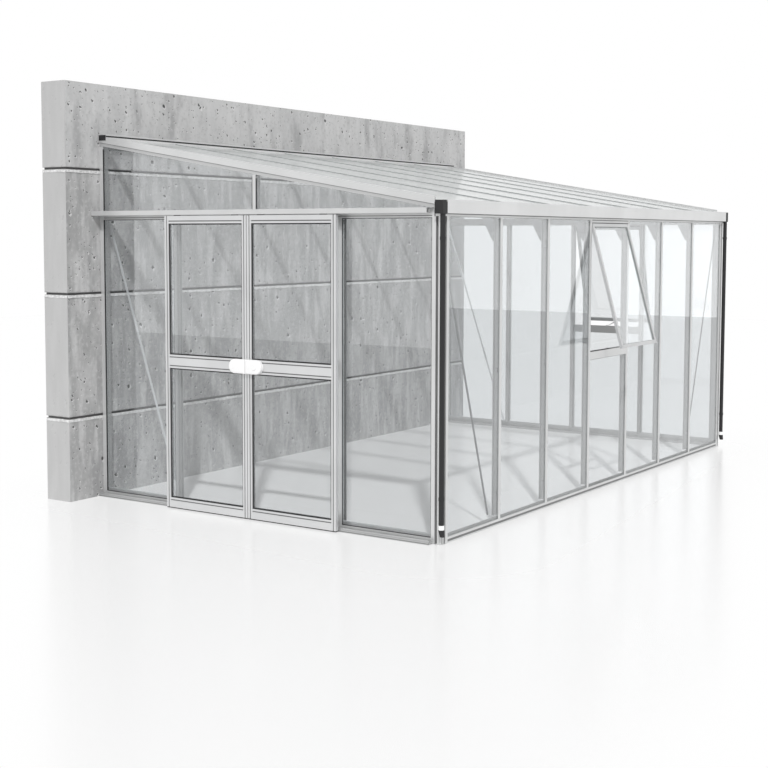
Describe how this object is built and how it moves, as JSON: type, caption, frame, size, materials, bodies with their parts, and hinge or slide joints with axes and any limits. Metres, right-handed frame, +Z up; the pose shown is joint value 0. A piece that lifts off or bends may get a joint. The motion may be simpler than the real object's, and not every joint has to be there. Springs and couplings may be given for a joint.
{
  "type": "lean-to greenhouse",
  "caption": "Lean-to greenhouse of aluminium bars and glass on a concrete house wall, with sliding gable doors, open top-hung windows, a gutter and downpipes.",
  "frame": {"origin": "on the ground, in the middle of the whole object's length and depth", "axes": "+X along the house wall with the sliding doors at -X, +Y from the low front towards the house wall, +Z up"},
  "size_m": [5.71, 3.4916, 3.08],
  "materials": {
    "concrete": "cast concrete, matt",
    "aluminium_frame": "satin anodised",
    "gutter_aluminium": "satin anodised",
    "roof_aluminium": "satin anodised",
    "bracket_aluminium": "mill finish",
    "sash_aluminium": "satin anodised",
    "track_aluminium": "satin anodised",
    "door_aluminium": "satin anodised",
    "charcoal_plastic": "satin",
    "white_plastic": "smooth",
    "roller_plastic": "smooth",
    "black_rubber": "matt",
    "joint_strip": "matt",
    "roof_sheet": "clear ribbed sheet",
    "glass": "clear",
    "lock_steel": "brushed"
  },
  "bodies": {
    "greenhouse": {"house_wall": "concrete", "front_sill": "aluminium_frame", "gable_sills": "aluminium_frame", "corner_posts": "aluminium_frame", "wall_posts": "aluminium_frame", "front_glazing_bars": "aluminium_frame", "gable_posts": "aluminium_frame", "gable_upper_bars": "aluminium_frame", "gable_ties": "aluminium_frame", "front_head_rail": "aluminium_frame", "gutter": "gutter_aluminium", "gutter_end_caps": "charcoal_plastic", "downpipes": "charcoal_plastic", "pipe_rings": "white_plastic", "pipe_shoes": "charcoal_plastic", "verge_bars": "roof_aluminium", "rafters": "roof_aluminium", "wall_plate": "roof_aluminium", "roof_sheets": "roof_sheet", "joint_strips": "joint_strip", "wall_seal": "black_rubber", "wall_flashing": "roof_aluminium", "flashing_end_caps": "charcoal_plastic", "knee_gussets": "bracket_aluminium", "braces": "bracket_aluminium", "front_glass": "glass", "near_gable_glass": "glass", "far_gable_glass": "glass", "gable_upper_glass": "glass", "front_window_frame": "sash_aluminium", "gable_window_frame": "sash_aluminium", "window_glass": "glass", "window_fixed_rails": "aluminium_frame", "window_stays": "bracket_aluminium", "door_top_track": "track_aluminium", "door_low_track": "track_aluminium"},
    "left_door": {"left_door_frame": "door_aluminium", "left_door_glass": "glass", "left_door_rollers": "roller_plastic", "left_door_handle": "white_plastic"},
    "right_door": {"right_door_frame": "door_aluminium", "right_door_glass": "glass", "right_door_rollers": "roller_plastic", "right_door_handle": "white_plastic", "right_door_lock": "lock_steel"}
  },
  "joints": [
    {"name": "left_door_slide", "type": "slide", "parent": "greenhouse", "child": "left_door", "axis": [0, 1, 0], "range_m": [0, 0.7]},
    {"name": "right_door_slide", "type": "slide", "parent": "greenhouse", "child": "right_door", "axis": [0, -1, 0], "range_m": [0, 0.7]}
  ]
}
